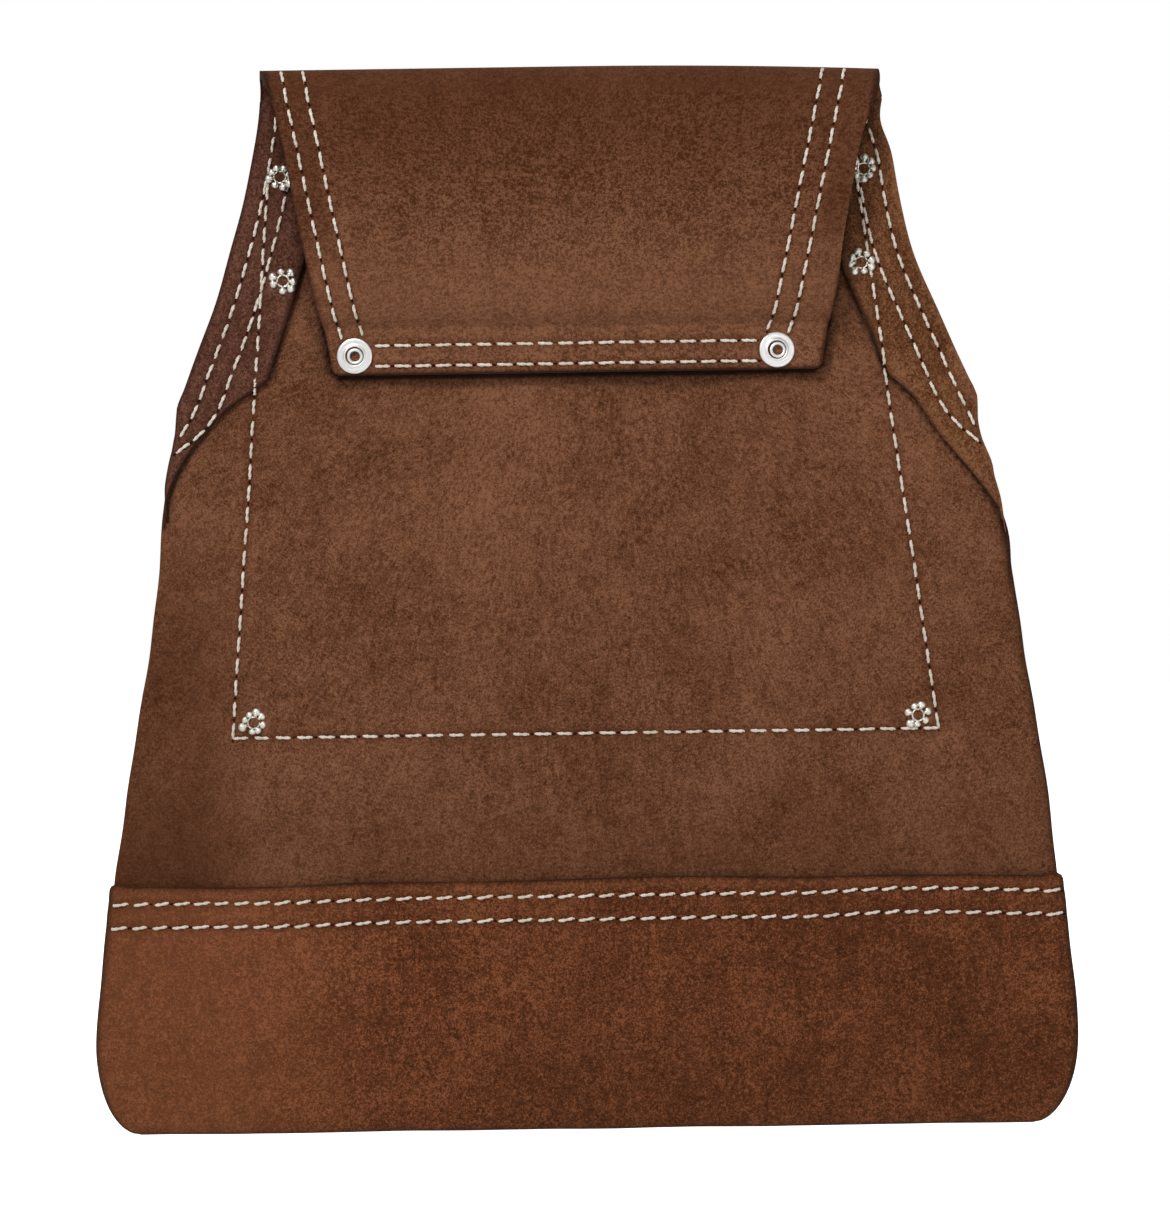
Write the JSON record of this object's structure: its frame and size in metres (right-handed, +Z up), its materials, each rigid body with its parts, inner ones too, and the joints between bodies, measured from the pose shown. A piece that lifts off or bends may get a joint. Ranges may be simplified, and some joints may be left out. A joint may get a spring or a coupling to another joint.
{
  "type": "work apron pouch",
  "caption": "Suede pouch worn on a work belt: curved back with a riveted belt tunnel, scooped front, flat inner pocket and stitched facing strips.",
  "frame": {"origin": "middle of the belt's place in the tunnel at the top of the pouch", "axes": "+Z up, +X to the right as seen from the wearer's side, +Y away from the wearer, towards the pouch's front"},
  "size_m": [0.288, 0.0639, 0.3115],
  "materials": {
    "suede": "napped split leather, reddish brown",
    "suede_strip": "napped split leather, reddish brown",
    "thread": "waxed off-white thread",
    "rivet_steel": "nickel plated steel"
  },
  "bodies": {
    "root": {"back_panel": "suede", "pocket_seam_thread": "thread", "left_edge_strip": "suede_strip", "left_edge_outer_thread": "thread", "left_edge_inner_thread": "thread", "right_edge_strip": "suede_strip", "right_edge_outer_thread": "thread", "right_edge_inner_thread": "thread", "flap_tip_strip": "suede_strip", "left_flap_outer_thread": "thread", "left_flap_inner_thread": "thread", "right_flap_outer_thread": "thread", "right_flap_inner_thread": "thread", "flap_tip_upper_thread": "thread", "flap_tip_lower_thread": "thread", "back_lower_panel": "suede", "back_lower_upper_thread": "thread", "back_lower_lower_thread": "thread", "inner_pocket": "suede_strip", "front_panel": "suede", "front_lower_panel": "suede", "mouth_strip": "suede_strip", "mouth_outer_thread": "thread", "mouth_inner_thread": "thread", "front_lower_upper_thread": "thread", "front_lower_lower_thread": "thread", "closing_seam_thread": "thread", "left_upper_rivet": "rivet_steel", "left_second_rivet": "rivet_steel", "left_corner_rivet": "rivet_steel", "left_burr": "rivet_steel", "left_tunnel_rivet": "rivet_steel", "right_upper_rivet": "rivet_steel", "right_second_rivet": "rivet_steel", "right_corner_rivet": "rivet_steel", "right_burr": "rivet_steel", "right_tunnel_rivet": "rivet_steel"}
  },
  "joints": []
}
